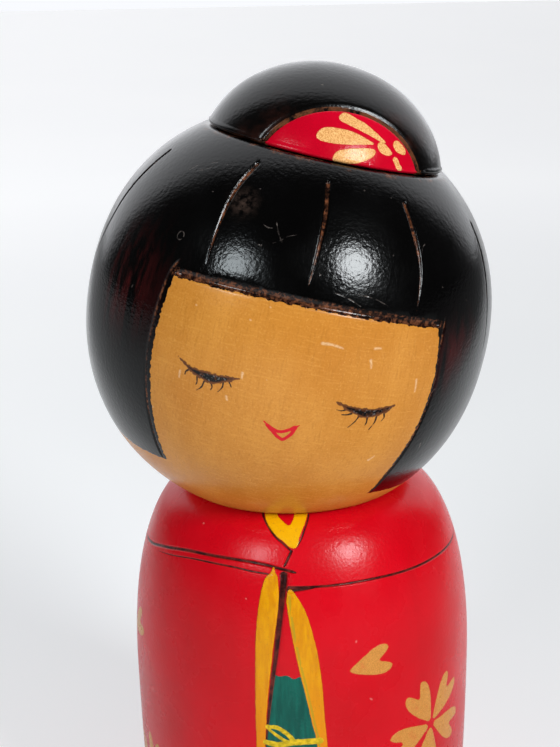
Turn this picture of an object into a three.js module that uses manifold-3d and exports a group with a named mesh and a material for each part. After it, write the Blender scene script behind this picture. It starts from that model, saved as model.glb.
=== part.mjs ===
// A turned wooden kokeshi doll: a round-shouldered body, a big round head that leans to one
// side and turns on a neck peg, and a domed hair bun with a slice of hair cloth set into it.
//
// Sizes are in millimetres and angles in degrees. +Z is up, the origin is the centre of the
// underside, and the front of the body faces -Y. An angle round a turned piece is counted
// from that piece's own front (-Y) towards +X.

import * as THREE from 'three';
import { mergeVertices } from 'three/addons/utils/BufferGeometryUtils.js';
import Module from 'manifold-3d';

const wasm = await Module();
wasm.setup();

// ---- Driving dimensions ----

const touchGap = 0.3;            // between two pieces that touch
const pegGap = 0.3;              // round a peg in its hole, on the radius

const bodyHeight = 130;
const bodyRadius = 44.7;         // at its fullest, just below the shoulder
const footRadius = 42.5;
const footRound = 2.5;
const neckSeatRadius = 25.9;     // of the flat top that carries the head
const shoulderHeight = 52;
const shoulderFullness = 2.23;   // 2 is an ellipse, and more is squarer

const headRadius = 50;
const headHalfHeight = 50.3;
const headFullness = 2.165;
const headFlatRadius = 29.4;     // where the head is cut flat to sit on the body
const headLean = 13.2;           // of the head's axis from upright
const headLeanToward = 96;       // direction of the lean, from the body's front
const headSetBack = 2;           // of the head's centre from the neck axis, against the lean
const faceTurn = 7;              // of the face from the body's front

const bunRadius = 29.5;
const bunHalfHeight = 25.3;
const bunCutHeight = 5.6;        // of the bun's flat base above its widest level
const bunLedge = 0.9;            // of the head's seat beyond the bun
const bunEdge = 0.8;             // chamfer round the bun's base

const clothForward = 21.6;       // of the cloth's flat back from the bun's axis
const clothTurn = 6.5;           // of the cloth from the face
const clothStep = 0.5;           // of the cloth's dome below the bun's

const neckPegRadius = 9;
const neckPegLength = 50;
const bunPegRadius = 4;
const bunPegLength = 24;
const pegChamfer = 1;
const holeSpare = 1;             // run of a hole beyond its peg

const grooveRadius = 0.7;
const fringeHeight = 12.4;       // of the fringe's ends above the head's centre
const fringeArch = 1.2;
const lockTopAngle = 38;         // of the fringe's ends from the middle of the face
const lockAngle = 39.4;          // of a side lock, where the locks stand widest
const lockTaper = 3.4;           // by which the locks close in at their lower ends
const lockTop = 16;
const lockWidest = 2;
const lockBottom = -32;
const yokeBackDrop = 16.5;       // of the yoke's seam below the body's top
const yokeRightDrop = 14.1;
const yokeLeftDrop = 9.5;

// Carved lines on the body, each point an angle and a drop below the body's top.
const collarGroove = [[-12, 1], [-6.5, 2.8], [-1.7, 4.8], [1.4, 6.5], [-1.2, 9.4]];
const lapelGroove = [[10, 1], [7.4, 2.4], [5.2, 3.9]];
const frontSeam = [[-0.5, 11], [-1.8, 22], [-3.5, 34], [-5.3, 42], [-6, 50]];

// Strands of hair: angle from the face, and heights from the head's centre.
const strands = [
  { angle: -76, top: 34.7, bottom: 6 },
  { angle: -29, top: 37.8, bottom: 16.7 },
  { angle: 0, top: 37.8, bottom: 17.7 },
  { angle: 30, top: 37.3, bottom: 16.5 },
  { angle: 67, top: 34, bottom: 4.5 },
  { angle: 112, top: 36, bottom: 2 },
  { angle: 157, top: 36, bottom: -4 },
  { angle: -157, top: 36, bottom: -4 },
  { angle: -116, top: 36, bottom: 2 },
];

const roundSides = 48;
const headRows = 22;
const bunSides = 40;
const bunRows = 9;
const pegSides = 32;

// ---- Helpers ----

const rad = THREE.MathUtils.degToRad;

function mix(from, to, share) {
  return from + (to - from) * share;
}

function series(count, place) {
  return Array.from({ length: count + 1 }, (_, step) => place(step / count));
}

function around(radius, angle, height) {
  return new THREE.Vector3(radius * Math.sin(rad(angle)), -radius * Math.cos(rad(angle)), height);
}

function superRadius(height, radius, halfHeight, fullness) {
  return radius * (1 - (Math.abs(height) / halfHeight) ** fullness) ** (1 / fullness);
}

function turned(profile, sides) {
  return new THREE.LatheGeometry(profile, sides).rotateX(Math.PI / 2);
}

function toSolid(geometry) {
  const bare = geometry.clone();
  bare.deleteAttribute('normal');
  bare.deleteAttribute('uv');
  const welded = mergeVertices(bare, 1e-4);
  const vertProperties = new Float32Array(welded.attributes.position.array);
  const triVerts = new Uint32Array(welded.index.array);
  return new wasm.Manifold(new wasm.Mesh({ numProp: 3, vertProperties, triVerts }));
}

function toGeometry(solid) {
  const mesh = solid.getMesh();
  const geometry = new THREE.BufferGeometry();
  geometry.setAttribute('position', new THREE.BufferAttribute(mesh.vertProperties, 3));
  geometry.setIndex(new THREE.BufferAttribute(mesh.triVerts, 1));
  const faceted = geometry.toNonIndexed();
  faceted.computeVertexNormals();
  return faceted;
}

function cutAway(geometry, cutters) {
  let solid = toSolid(geometry);
  for (const cutter of cutters) {
    solid = solid.subtract(toSolid(cutter));
  }
  return toGeometry(solid);
}

// A round-bottomed gouge whose centre line runs on the surface it cuts.
function gouge(points, steps) {
  const section = new THREE.Shape();
  section.absarc(0, 0, grooveRadius, 0, 2 * Math.PI);
  const extrudePath = new THREE.CatmullRomCurve3(points);
  const settings = { steps, curveSegments: 6, bevelEnabled: false, extrudePath };
  return new THREE.ExtrudeGeometry(section, settings);
}

// A block that fills everything beyond a plane: its near face is at z = 0.
function blockAbove(size) {
  return new THREE.BoxGeometry(size, size, size).translate(0, 0, size / 2);
}

function peg(radius, length) {
  const tip = radius - pegChamfer;
  return turned([
    new THREE.Vector2(0, 0),
    new THREE.Vector2(tip, 0),
    new THREE.Vector2(radius, pegChamfer),
    new THREE.Vector2(radius, length - pegChamfer),
    new THREE.Vector2(tip, length),
    new THREE.Vector2(0, length),
  ], pegSides);
}

// The hole that takes one end of a peg. It runs from `low` to `high` on the peg's axis.
function pegHole(radius, low, high) {
  return turned([
    new THREE.Vector2(0, low),
    new THREE.Vector2(radius + pegGap, low),
    new THREE.Vector2(radius + pegGap, high),
    new THREE.Vector2(0, high),
  ], pegSides);
}

// ---- Places worked out from the driving dimensions ----

const headFlatLevel = superRadius(headFlatRadius, headHalfHeight, headRadius, headFullness);
const headCentreHeight = bodyHeight + headFlatLevel;
const bunSeatRadius = superRadius(bunCutHeight, bunRadius, bunHalfHeight, 2) + bunLedge;
const bunSeatLevel = superRadius(bunSeatRadius, headHalfHeight, headRadius, headFullness);
const bunBaseLevel = bunSeatLevel + touchGap;
const bunCentreLevel = bunBaseLevel - bunCutHeight;
const neckPegBase = bodyHeight - neckPegLength / 2;
const bunPegBase = bunSeatLevel - bunPegLength / 2;

// ---- Body ----

function shoulderRadius(drop) {
  const reach = superRadius(shoulderHeight - drop, 1, shoulderHeight, shoulderFullness);
  return mix(neckSeatRadius, bodyRadius, reach);
}

function onShoulder(angle, drop) {
  return around(shoulderRadius(drop), angle, bodyHeight - drop);
}

function bodyProfile() {
  const lowerHeight = bodyHeight - shoulderHeight;
  const foot = series(4, (share) => new THREE.Vector2(
    footRadius - footRound * (1 - Math.sin(rad(90 * share))),
    footRound * (1 - Math.cos(rad(90 * share)))));
  const waist = series(5, (share) => new THREE.Vector2(
    mix(footRadius, bodyRadius, Math.sin(rad(90 * share))),
    mix(footRound, lowerHeight, share)));
  const shoulder = series(14, (share) => {
    const drop = shoulderHeight * (1 - Math.sin(rad(90 * share)) ** (2 / shoulderFullness));
    return new THREE.Vector2(shoulderRadius(drop), bodyHeight - drop);
  });
  return [
    new THREE.Vector2(0, 0),
    ...foot,
    ...waist.slice(1),
    ...shoulder.slice(1),
    new THREE.Vector2(0, bodyHeight),
  ];
}

// The yoke's seam runs level round the back and the right shoulder, and rises on the left.
function yokeDrop(angle) {
  const rightShare = THREE.MathUtils.smoothstep(angle, 20, 90);
  const leftShare = THREE.MathUtils.smoothstep(-angle, 15, 80);
  return angle > 0
    ? mix(yokeRightDrop, yokeBackDrop, rightShare)
    : mix(yokeLeftDrop, yokeBackDrop, leftShare);
}

function bodyGrooves() {
  const yokeSide = (side) => series(24, (share) => {
    const angle = side * mix(1, 180, share);
    return onShoulder(angle, yokeDrop(angle));
  });
  const trace = (marks) => marks.map(([angle, drop]) => onShoulder(angle, drop));
  return [
    gouge(yokeSide(1), 20),
    gouge(yokeSide(-1), 20),
    gouge(trace(collarGroove), 8),
    gouge(trace(lapelGroove), 3),
    gouge(trace(frontSeam), 8),
  ];
}

function makeBody() {
  const hole = pegHole(neckPegRadius, neckPegBase - touchGap, bodyHeight + holeSpare);
  return cutAway(turned(bodyProfile(), roundSides), [...bodyGrooves(), hole]);
}

function makeNeckPeg() {
  return peg(neckPegRadius, neckPegLength).translate(0, 0, neckPegBase);
}

// ---- Head ----

function onHead(angle, height) {
  return around(superRadius(height, headRadius, headHalfHeight, headFullness), angle, height);
}

function headProfile() {
  return series(headRows, (share) => {
    const turn = rad(mix(-90, 90, share));
    const height = Math.sign(turn) * Math.abs(Math.sin(turn)) ** (2 / headFullness);
    const out = share === 0 || share === 1 ? 0 : Math.cos(turn) ** (2 / headFullness);
    return new THREE.Vector2(headRadius * out, headHalfHeight * height);
  });
}

function hairGrooves() {
  const fringe = series(10, (share) => {
    const angle = mix(-lockTopAngle, lockTopAngle, share);
    const arch = fringeArch * Math.cos(rad(90 * angle / lockTopAngle));
    return onHead(angle, fringeHeight + arch);
  });
  const lock = (side) => series(10, (share) => {
    const height = mix(lockTop, lockBottom, share);
    const narrowing = (height - lockWidest) / (lockBottom - lockWidest);
    return onHead(side * (lockAngle - lockTaper * narrowing ** 2), height);
  });
  const strandCuts = strands.map(({ angle, top, bottom }) => (
    gouge(series(6, (share) => onHead(angle, mix(top, bottom, share))), 5)));
  return [gouge(fringe, 12), gouge(lock(-1), 9), gouge(lock(1), 9), ...strandCuts];
}

// Everything fixed to the head is placed in this group: its origin is the head's centre, its
// +Z the head's own axis and its -Y the face.
const headGroup = new THREE.Group();
headGroup.position.copy(around(headSetBack, headLeanToward + 180, headCentreHeight));
headGroup.quaternion
  .setFromAxisAngle(around(1, headLeanToward + 90, 0), rad(headLean))
  .multiply(new THREE.Quaternion().setFromAxisAngle(new THREE.Vector3(0, 0, 1), rad(faceTurn)));
headGroup.updateMatrixWorld();

function intoHead(geometry) {
  return geometry.applyMatrix4(headGroup.matrixWorld.clone().invert());
}

function makeHead() {
  const underside = blockAbove(4 * headRadius).rotateX(Math.PI)
    .translate(0, 0, bodyHeight + touchGap);
  const neckHole = pegHole(neckPegRadius, bodyHeight - holeSpare,
    neckPegBase + neckPegLength + holeSpare);
  const bunSeat = blockAbove(4 * headRadius).translate(0, 0, bunSeatLevel);
  const bunPegHole = pegHole(bunPegRadius, bunPegBase - touchGap, bunSeatLevel + holeSpare);
  const cutters = [intoHead(underside), intoHead(neckHole), bunSeat, bunPegHole];
  return cutAway(turned(headProfile(), roundSides), [...hairGrooves(), ...cutters]);
}

// ---- Bun ----

function domeProfile(shrink) {
  const radius = bunRadius - shrink;
  const halfHeight = bunHalfHeight - shrink;
  const start = Math.asin(bunCutHeight / halfHeight);
  const rim = new THREE.Vector2(radius * Math.cos(start), bunCutHeight);
  const dome = series(bunRows, (share) => {
    const turn = mix(start + bunEdge / halfHeight, Math.PI / 2, share);
    return new THREE.Vector2(radius * Math.cos(turn), halfHeight * Math.sin(turn));
  });
  dome[dome.length - 1].x = 0;
  return [
    new THREE.Vector2(0, bunCutHeight),
    new THREE.Vector2(rim.x - bunEdge, bunCutHeight),
    ...dome,
  ];
}

// A block in front of the upright plane on which the cloth is set, moved on by `beyond`.
function clothBlock(beyond) {
  return blockAbove(4 * bunRadius).rotateX(Math.PI / 2)
    .translate(0, -clothForward - beyond, 0).rotateZ(rad(clothTurn));
}

function makeBun() {
  const dome = turned(domeProfile(0), bunSides).translate(0, 0, bunCentreLevel);
  const hole = pegHole(bunPegRadius, bunBaseLevel - holeSpare,
    bunPegBase + bunPegLength + touchGap);
  return cutAway(dome, [clothBlock(0), hole]);
}

function makeCloth() {
  const dome = turned(domeProfile(clothStep), bunSides).translate(0, 0, bunCentreLevel);
  return toGeometry(toSolid(dome).intersect(toSolid(clothBlock(touchGap))));
}

function makeBunPeg() {
  return peg(bunPegRadius, bunPegLength).translate(0, 0, bunPegBase);
}

// ---- Assembly ----

function lacquer(color, roughness) {
  return new THREE.MeshStandardMaterial({ color, roughness, metalness: 0 });
}

function piece(name, geometry, material) {
  const mesh = new THREE.Mesh(geometry, material);
  mesh.name = name;
  return mesh;
}

headGroup.add(
  piece('head', makeHead(), lacquer(0x1c1614, 0.25)),
  piece('hair_bun', makeBun(), lacquer(0x14110f, 0.25)),
  piece('bun_peg', makeBunPeg(), lacquer(0xd8b27a, 0.7)),
  piece('hair_cloth', makeCloth(), lacquer(0xa8171b, 0.3)),
);

const kokeshi = new THREE.Group();
kokeshi.name = 'kokeshi_doll';
kokeshi.add(
  piece('body', makeBody(), lacquer(0x9c1216, 0.25)),
  piece('neck_peg', makeNeckPeg(), lacquer(0xd8b27a, 0.7)),
  headGroup,
);

export default kokeshi;
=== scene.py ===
# %% [markdown]
# # A turned wooden kokeshi doll
# The doll is a few turned pieces of wood: a round-shouldered body, a big head that leans to
# one side and turns on a peg in its neck, and a domed hair bun with a red slice of hair cloth
# set into its front. Everything else is carved line, lacquer and brush paint. The frame holds
# the sizes and the joint, so this lesson starts by loading it and never moves it.

# %% Load the frame
import math

import bpy
import numpy as np
from mathutils import Matrix, Vector
from mathutils.kdtree import KDTree


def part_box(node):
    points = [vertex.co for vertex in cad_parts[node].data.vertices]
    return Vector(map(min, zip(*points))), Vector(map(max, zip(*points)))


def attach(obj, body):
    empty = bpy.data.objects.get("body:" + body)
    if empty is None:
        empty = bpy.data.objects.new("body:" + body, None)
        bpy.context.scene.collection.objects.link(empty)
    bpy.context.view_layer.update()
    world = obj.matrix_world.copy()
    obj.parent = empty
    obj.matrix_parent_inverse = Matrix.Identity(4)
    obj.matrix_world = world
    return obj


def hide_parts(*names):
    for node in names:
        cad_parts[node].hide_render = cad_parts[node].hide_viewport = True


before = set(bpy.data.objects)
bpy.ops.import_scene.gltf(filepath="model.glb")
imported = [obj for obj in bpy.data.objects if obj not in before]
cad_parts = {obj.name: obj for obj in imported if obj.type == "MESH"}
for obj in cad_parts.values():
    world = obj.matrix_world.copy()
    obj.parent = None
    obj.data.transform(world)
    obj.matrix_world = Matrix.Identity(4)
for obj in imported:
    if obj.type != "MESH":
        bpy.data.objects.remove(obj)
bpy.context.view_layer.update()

MM = 0.001

# %% [markdown]
# ## Sizes
# The turned profiles are superellipses, like an ellipse but a little squarer. The body's
# height and radius and the ends of the neck peg are read from the frame, and the rest are the
# maker's own sizes. Angles round a piece are counted in degrees from its front (-Y) towards
# +X. The head leans over by `HEAD_LEAN` degrees, and its middle is shifted a little the other
# way.

# %% Sizes and places
body_low, body_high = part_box("body")
BODY_TOP = body_high.z
BODY_RADIUS = (body_high.x - body_low.x) / 2
TOUCH_GAP = 0.3 * MM
PEG_GAP = 0.3 * MM

FOOT_RADIUS = 42.5 * MM
FOOT_ROUND = 2.5 * MM
NECK_SEAT_RADIUS = 25.9 * MM
SHOULDER_HEIGHT = 52 * MM
SHOULDER_FULLNESS = 2.23

HEAD_RADIUS = 50 * MM
HEAD_HALF_HEIGHT = 50.3 * MM
HEAD_FULLNESS = 2.165
HEAD_FLAT_RADIUS = 29.4 * MM
HEAD_LEAN = 13.2
HEAD_LEAN_TOWARD = 96
HEAD_SHIFT = 2 * MM
FACE_TURN = 7

BUN_RADIUS = 29.5 * MM
BUN_HALF_HEIGHT = 25.3 * MM
BUN_CUT = 5.6 * MM
BUN_LEDGE = 0.9 * MM
CLOTH_FORWARD = 21.6 * MM
CLOTH_TURN = 6.5
CLOTH_STEP = 0.45 * MM

NECK_PEG_RADIUS = 9 * MM
NECK_HOLE_SPARE = 0.5 * MM
BUN_PEG_RADIUS = 4 * MM
BUN_HOLE_DEPTH = 12.3 * MM
neck_peg_low, neck_peg_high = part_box("neck_peg")


def super_level(level, radius, half_height, fullness):
    """Radius of a superellipse at a level, or its level at a radius: the two are alike."""
    share = np.clip(np.abs(level) / half_height, 0, 1)
    return radius * (1 - share ** fullness) ** (1 / fullness)


HEAD_CENTRE_HEIGHT = BODY_TOP + super_level(
    HEAD_FLAT_RADIUS, HEAD_HALF_HEIGHT, HEAD_RADIUS, HEAD_FULLNESS)
BUN_BASE_RADIUS = super_level(BUN_CUT, BUN_RADIUS, BUN_HALF_HEIGHT, 2)
BUN_SEAT = super_level(
    BUN_BASE_RADIUS + BUN_LEDGE, HEAD_HALF_HEIGHT, HEAD_RADIUS, HEAD_FULLNESS)
BUN_BASE = BUN_SEAT + TOUCH_GAP
BUN_CENTRE = BUN_BASE - BUN_CUT


def compass(radius, angle, height=0.0):
    """The point at a radius, an angle from the front and a height."""
    return Vector((radius * math.sin(math.radians(angle)),
                   -radius * math.cos(math.radians(angle)), height))


HEAD_PLACE = (
    Matrix.Translation(compass(HEAD_SHIFT, HEAD_LEAN_TOWARD + 180, HEAD_CENTRE_HEIGHT))
    @ Matrix.Rotation(math.radians(HEAD_LEAN), 4, compass(1, HEAD_LEAN_TOWARD + 90))
    @ Matrix.Rotation(math.radians(FACE_TURN), 4, "Z"))
print(f"body {BODY_TOP / MM:.1f} mm high, head centre at {HEAD_CENTRE_HEIGHT / MM:.1f} mm")

# %% [markdown]
# ## Turning a piece
# A lathe takes wood off evenly all round, and Blender's spin does the same: a chain of points
# is extruded along half of the outline, and spun once round the axis. The points that fall
# together on the axis are merged, and the faces are turned outwards.

# %% Turn a piece from its outline


def deselect_all():
    if bpy.context.object and bpy.context.object.mode != "OBJECT":
        bpy.ops.object.mode_set(mode="OBJECT")
    bpy.ops.object.select_all(action="DESELECT")


def work_on(piece):
    deselect_all()
    piece.select_set(True)
    bpy.context.view_layer.objects.active = piece


def turn(name, outline, steps):
    """Spins an outline of (radius, height) points, which starts and ends on the axis."""
    deselect_all()
    bpy.ops.mesh.primitive_plane_add(size=MM)
    piece = bpy.context.object
    piece.name = piece.data.name = name
    bpy.ops.object.mode_set(mode="EDIT")
    bpy.ops.mesh.select_all(action="SELECT")
    bpy.ops.mesh.merge(type="CENTER")
    last = Vector((outline[0][0], 0, outline[0][1]))
    bpy.ops.transform.translate(value=last)
    for radius, height in outline[1:]:
        here = Vector((radius, 0, height))
        bpy.ops.mesh.extrude_vertices_move(TRANSFORM_OT_translate={"value": here - last})
        last = here
    bpy.ops.mesh.select_all(action="SELECT")
    bpy.ops.mesh.spin(steps=steps, angle=2 * math.pi, center=(0, 0, 0), axis=(0, 0, 1))
    bpy.ops.mesh.select_all(action="SELECT")
    bpy.ops.mesh.remove_doubles(threshold=0.0005 * MM)
    bpy.ops.mesh.normals_make_consistent(inside=False)
    bpy.ops.object.mode_set(mode="OBJECT")
    print(f"{name}: turned with {len(piece.data.polygons)} faces")
    return piece


def quarter(count):
    """Shares of a quarter turn, from 0 to 90 degrees, in radians."""
    return np.linspace(0, math.pi / 2, count)


# %% [markdown]
# ## Lines on a turned surface
# Carved and painted lines are given by a few marks, each an angle round the piece and a
# level in millimetres, and joined by a smooth curve that is laid on the surface. A level is
# a drop below the top on the body, and a height above the middle on the head.

# %% Lay a line on a surface


def smooth(marks, closed=False, spans=10):
    """A Catmull-Rom curve through the marks, as an array of (angle, level)."""
    marks = np.array(marks, float)
    if closed:
        padded = np.vstack([marks[-1:], marks, marks[:2]])
    else:
        padded = np.vstack([2 * marks[0] - marks[1], marks, 2 * marks[-1] - marks[-2]])
    share = (np.arange(spans) / spans)[:, None]
    runs = []
    for before, start, end, after in zip(padded, padded[1:], padded[2:], padded[3:]):
        runs.append(0.5 * (2 * start + (end - before) * share
                           + (2 * before - 5 * start + 4 * end - after) * share ** 2
                           + (3 * start - before - 3 * end + after) * share ** 3))
    runs.append(padded[-2:-1])
    return np.vstack(runs)


def laid(line, radius_at, level_to_height):
    """The points of a line of (angle, level) on a turned surface, in metres."""
    heights = level_to_height(line[:, 1] * MM)
    radii = radius_at(heights)
    turns = np.radians(line[:, 0])
    return np.column_stack([radii * np.sin(turns), -radii * np.cos(turns), heights])


def nearest(line, spots):
    """How far each spot is from a line of points, and how far along the line that is, 0 to 1."""
    tree = KDTree(len(line))
    for index, point in enumerate(line):
        tree.insert(point, index)
    tree.balance()
    hits = np.array([tree.find(spot)[1] for spot in spots], int)
    gap = np.full(len(spots), np.inf)
    along = np.zeros(len(spots))
    for step in (-1, 0):
        start = np.clip(hits + step, 0, len(line) - 2)
        run = line[start + 1] - line[start]
        share = ((spots - line[start]) * run).sum(1) / np.maximum((run * run).sum(1), 1e-18)
        share = np.clip(share, 0, 1)
        reach = np.linalg.norm(spots - line[start] - share[:, None] * run, axis=1)
        closer = reach < gap
        gap[closer] = reach[closer]
        along[closer] = ((start + share) / (len(line) - 1))[closer]
    return gap, along


def points_of(piece):
    flat = np.empty(len(piece.data.vertices) * 3)
    piece.data.vertices.foreach_get("co", flat)
    return flat.reshape(-1, 3)


def put_points(piece, points):
    piece.data.vertices.foreach_set("co", points.ravel())
    piece.data.update()


def normals_of(piece):
    flat = np.empty(len(piece.data.vertices) * 3)
    piece.data.vertices.foreach_get("normal", flat)
    return flat.reshape(-1, 3)


# %% [markdown]
# ## Finer faces where the tool goes
# A carved line is only a millimetre wide, far finer than the turned faces. So the faces near
# each line are subdivided, once for each reach in turn, and the new points are put back on
# the round surface. Points further than `SURFACE_REACH` from it belong to a hole or a flat
# and stay where they are. The rest of the piece stays light.

# %% Subdivide near lines
LINE_SPACING = 0.3 * MM
SURFACE_REACH = 0.5 * MM


def dense(line, spacing=LINE_SPACING):
    """The same line with points close together."""
    runs = [line[:1]]
    for start, end in zip(line, line[1:]):
        count = max(1, math.ceil(np.linalg.norm(end - start) / spacing))
        runs.append(start + (end - start) * np.linspace(0, 1, count + 1)[1:, None])
    return np.vstack(runs)


def refine(piece, lines, reaches, radius_at, lowest, highest):
    """Subdivides the faces near the lines once per reach, and rounds the turned surface again."""
    line_points = np.vstack([dense(line) for line in lines])
    tree = KDTree(len(line_points))
    for index, point in enumerate(line_points):
        tree.insert(point, index)
    tree.balance()
    for reach in reaches:
        points = points_of(piece)
        near = np.array([tree.find(point)[2] < reach for point in points])
        work_on(piece)
        mesh = piece.data
        mesh.polygons.foreach_set("select", np.zeros(len(mesh.polygons), bool))
        mesh.edges.foreach_set("select", np.zeros(len(mesh.edges), bool))
        mesh.vertices.foreach_set("select", near)
        bpy.context.tool_settings.mesh_select_mode = (True, False, False)
        bpy.ops.object.mode_set(mode="EDIT")
        bpy.ops.mesh.subdivide(number_cuts=1, ngon=False)
        bpy.ops.object.mode_set(mode="OBJECT")
        points = points_of(piece)
        out = np.hypot(points[:, 0], points[:, 1])
        wanted = radius_at(points[:, 2])
        turned = (points[:, 2] > lowest) & (points[:, 2] < highest)
        turned &= (out > MM) & (np.abs(out - wanted) < SURFACE_REACH)
        points[turned, :2] *= (wanted[turned] / out[turned])[:, None]
        put_points(piece, points)
    print(f"{piece.name}: {len(piece.data.polygons)} faces after refining")


# %% [markdown]
# ## Carving
# The maker cuts the seams and strands with a V-tool. Each point near a line is pressed in
# along its normal, deepest on the line, and the cut runs out to nothing at an open end.
# The same measure is kept on the piece, so that the finish can show bare wood in the cut.

# %% Carve lines and keep the measure
BLADE_FULLNESS = 0.85
RUN_OUT_CURVE = 0.6
FAR = 3


def keep(piece, name, values):
    """Stores one number per point, for the materials to read."""
    layer = piece.data.attributes.new(name, "FLOAT", "POINT")
    layer.data.foreach_set("value", np.asarray(values, np.float32))
    print(f"{piece.name}: {name} runs from {np.min(values):.2f} to {np.max(values):.2f}")


def within(points, line, reach):
    """Indices of the points inside a line's box, grown by a reach."""
    low = line.min(0) - reach
    high = line.max(0) + reach
    return np.flatnonzero(((points > low) & (points < high)).all(1))


def carve(piece, cuts):
    """Each cut is a laid line, its half width, its depth and its two run-outs, 0 to 1."""
    points = points_of(piece)
    normals = normals_of(piece)
    press = np.zeros(len(points))
    share = np.full(len(points), -1.0)
    for line, half_width, depth, run_in, run_out in cuts:
        near = within(points, line, 2 * half_width)
        gap, along = nearest(line, points[near])
        fade = np.minimum(1, along / run_in if run_in else 1)
        fade = np.minimum(fade, (1 - along) / run_out if run_out else 1) ** RUN_OUT_CURVE
        inside = 1 - gap / np.maximum(half_width * fade, 1e-7)
        soft = np.clip(inside, 0, 1)
        groove = depth * fade * soft * (2 - soft) * BLADE_FULLNESS
        press[near] = np.maximum(press[near], groove)
        share[near] = np.maximum(share[near], inside)
    put_points(piece, points - normals * press[:, None])
    return share


def area(points, angles, levels, outline, surface):
    """How far each point is inside a painted outline, in millimetres, down to -FAR outside."""
    field = np.full(len(points), -float(FAR))
    line = laid(np.vstack([outline, outline[:1]]), *surface)
    near = within(points, line, FAR * MM)
    middle = outline[:, 0].mean()
    across = (angles[near] - middle + 180) % 360 - 180
    up = levels[near]
    inside = np.zeros(len(near), bool)
    for (a0, l0), (a1, l1) in zip(outline, np.roll(outline, -1, axis=0)):
        if l0 == l1:
            continue
        crossed = (l0 > up) != (l1 > up)
        inside ^= crossed & (across < (a1 - a0) * (up - l0) / (l1 - l0) + a0 - middle)
    gap = nearest(line, points[near])[0] / MM
    field[near] = np.where(inside, np.minimum(gap, FAR), -np.minimum(gap, FAR))
    return field


def stroke(points, line, start_width, end_width):
    """The same measure for a brush line that tapers from one half width to another, in mm."""
    field = np.full(len(points), -float(FAR))
    near = within(points, line, FAR * MM)
    gap, along = nearest(line, points[near])
    width = start_width + (end_width - start_width) * along
    field[near] = np.maximum(width - gap / MM, -FAR)
    return field


def join(fields):
    """One measure for several shapes: the highest wins."""
    return np.max(fields, axis=0)


# %% [markdown]
# ## The body
# The body is turned with a round shoulder, a slight taper and a softened foot. Its profile
# also goes down into the hole for the neck peg, so the piece is whole under the head.
# A seam is carved round the yoke of the kimono, lifted over the left breast, and short lines
# cross at the collar and run down the front.

# %% Body profile


def body_radius(heights):
    """The body's radius at each height, from the foot's round to the flat top."""
    heights = np.asarray(heights, float)
    lower = BODY_TOP - SHOULDER_HEIGHT
    up = np.clip((heights - lower) / SHOULDER_HEIGHT, 0, 1)
    shoulder = NECK_SEAT_RADIUS + (BODY_RADIUS - NECK_SEAT_RADIUS) * super_level(
        up, 1, 1, SHOULDER_FULLNESS)
    rise = np.clip((heights - FOOT_ROUND) / (lower - FOOT_ROUND), 0, 1)
    waist = FOOT_RADIUS + (BODY_RADIUS - FOOT_RADIUS) * np.sin(rise * math.pi / 2)
    return np.where(heights > lower, shoulder, waist)


def body_outline():
    """Up the outside from the axis, over the flat top, and down into the hole for the peg."""
    lower = BODY_TOP - SHOULDER_HEIGHT
    foot = [(FOOT_RADIUS - FOOT_ROUND * (1 - math.sin(turn)), FOOT_ROUND * (1 - math.cos(turn)))
            for turn in quarter(8)]
    waist = [(float(body_radius(height)), height)
             for height in np.linspace(FOOT_ROUND, lower, 46)[1:]]
    shoulder = [(NECK_SEAT_RADIUS + (BODY_RADIUS - NECK_SEAT_RADIUS)
                 * max(0.0, math.cos(turn)) ** (2 / SHOULDER_FULLNESS),
                 lower + SHOULDER_HEIGHT * math.sin(turn) ** (2 / SHOULDER_FULLNESS))
                for turn in quarter(60)[1:]]
    hole = NECK_PEG_RADIUS + PEG_GAP
    return [(0, 0), (20 * MM, 0), *foot, *waist, *shoulder,
            (hole + 1 * MM, BODY_TOP), (hole, BODY_TOP - 1 * MM),
            (hole, neck_peg_low.z - TOUCH_GAP), (0, neck_peg_low.z - TOUCH_GAP)]


def body_level(levels):
    """Levels on the body are drops below its top."""
    return BODY_TOP - np.maximum(levels, 0)


BODY_SURFACE = (body_radius, body_level)
kimono = turn("kimono_body", body_outline(), steps=240)

# %% Lines carved in the kimono
YOKE_RIGHT = smooth([(1, 14.2), (14, 14.2), (30, 14.2), (45, 14.7), (62, 15.3), (88, 16.4),
                     (120, 16.6), (150, 16.5), (181, 16.5)])
YOKE_LEFT = smooth([(3.8, 11.1), (-1, 10.4), (-8, 9.6), (-17, 9.3), (-30, 9.7), (-42, 10.6),
                    (-56, 12.8), (-70, 15.3), (-85, 16.4), (-120, 16.6), (-150, 16.5), (-181, 16.5)])
YOKE_FOLD = smooth([(-4.6, 11.6), (-12, 11.3), (-21, 11.0), (-36, 11.6), (-50, 13.4), (-60, 14.8)])
COLLAR_CUT = smooth([(-12.6, 0.4), (-8.4, 2.2), (-4.8, 3.9), (-1.6, 5.1), (1.8, 6.6)])
COLLAR_TAIL = smooth([(1.8, 6.6), (0.3, 8.4), (-0.9, 10)])
LAPEL_CUT = smooth([(9.4, 0.4), (7.2, 2.4), (5.6, 4.2), (3.6, 6.1)])
FRONT_SEAM = smooth([(-0.8, 10.8), (-0.9, 14), (-1.7, 19.5), (-2.4, 25), (-3.2, 31), (-4.4, 38),
                     (-5.7, 47), (-6.8, 56)])
YOKE_NICK = smooth([(0.2, 14.8), (4, 14.6), (10, 14.4)])


def on_body(line):
    return laid(line, *BODY_SURFACE)


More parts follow.
